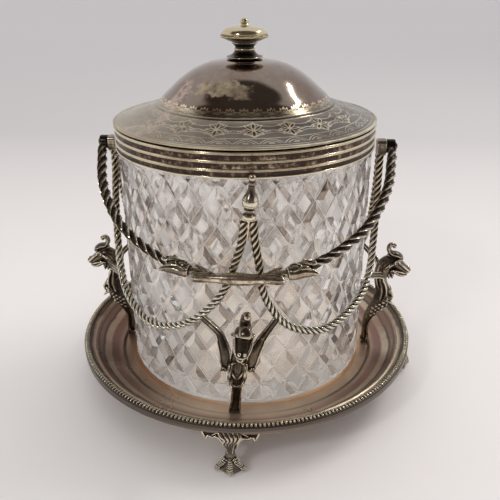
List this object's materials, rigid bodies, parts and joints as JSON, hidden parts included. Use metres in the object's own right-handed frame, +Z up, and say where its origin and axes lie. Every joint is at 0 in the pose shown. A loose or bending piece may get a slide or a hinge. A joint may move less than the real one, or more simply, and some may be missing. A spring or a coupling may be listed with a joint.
{
  "type": "biscuit barrel",
  "caption": "Cut-glass jar with plated mount and lift-off domed lid, standing on a footed tray inside a rope-swag frame with winged figures and a swing handle.",
  "frame": {"origin": "on the table, under the middle of the tray and of the overall size in X and Y", "axes": "+Z up along the jar, -Y towards the front that the handle rests against, +X along the hinge line to the viewer's right"},
  "size_m": [0.2106, 0.2106, 0.2088],
  "materials": {
    "silver_plate": "silver plate, engraved, lightly tarnished",
    "worn_silver_plate": "silver plate worn to a warm copper tone in the dish",
    "dark_silver_plate": "silver plate, darkly tarnished in the recesses",
    "cut_glass": "clear, mitre-cut and polished",
    "plaster": "matt"
  },
  "bodies": {
    "stand": {"tray": "worn_silver_plate", "beaded_border": "silver_plate", "rope_swag_front_left": "dark_silver_plate", "rope_swag_front_right": "dark_silver_plate", "rope_swag_back_left": "dark_silver_plate", "rope_swag_back_right": "dark_silver_plate", "claw_foot_front": "dark_silver_plate", "winged_figure_front": "dark_silver_plate", "figure_nut_front": "dark_silver_plate", "wing_front_left": "dark_silver_plate", "wing_front_right": "dark_silver_plate", "finial_front": "dark_silver_plate", "claw_foot_right": "dark_silver_plate", "winged_figure_right": "dark_silver_plate", "figure_nut_right": "dark_silver_plate", "wing_right_front": "dark_silver_plate", "wing_right_back": "dark_silver_plate", "hinge_block_right": "dark_silver_plate", "hinge_pin_right": "dark_silver_plate", "claw_foot_back": "dark_silver_plate", "winged_figure_back": "dark_silver_plate", "figure_nut_back": "dark_silver_plate", "wing_back_right": "dark_silver_plate", "wing_back_left": "dark_silver_plate", "finial_back": "dark_silver_plate", "claw_foot_left": "dark_silver_plate", "winged_figure_left": "dark_silver_plate", "figure_nut_left": "dark_silver_plate", "wing_left_back": "dark_silver_plate", "wing_left_front": "dark_silver_plate", "hinge_block_left": "dark_silver_plate", "hinge_pin_left": "dark_silver_plate"},
    "handle": {"handle_grip": "dark_silver_plate", "handle_arm_right": "dark_silver_plate", "handle_head_right": "dark_silver_plate", "handle_arm_left": "dark_silver_plate", "handle_head_left": "dark_silver_plate"},
    "jar": {"glass_jar": "cut_glass", "jar_mount": "silver_plate", "mount_cement": "plaster"},
    "lid": {"lid_cover": "silver_plate", "lid_bezel": "silver_plate", "knob_foot": "silver_plate", "knob_button": "silver_plate", "knob_tip": "silver_plate", "knob_nut": "dark_silver_plate"}
  },
  "joints": [
    {"name": "handle_swing", "type": "hinge", "parent": "stand", "child": "handle", "pos_m": [0, 0, 0.1431], "axis": [-1, 0, 0], "range_deg": [0, 236]},
    {"name": "jar_lift", "type": "slide", "parent": "stand", "child": "jar", "axis": [0, 0, 1], "range_m": [0, 0.16]},
    {"name": "lid_lift", "type": "slide", "parent": "jar", "child": "lid", "axis": [0, 0, 1], "range_m": [0, 0.06]}
  ]
}
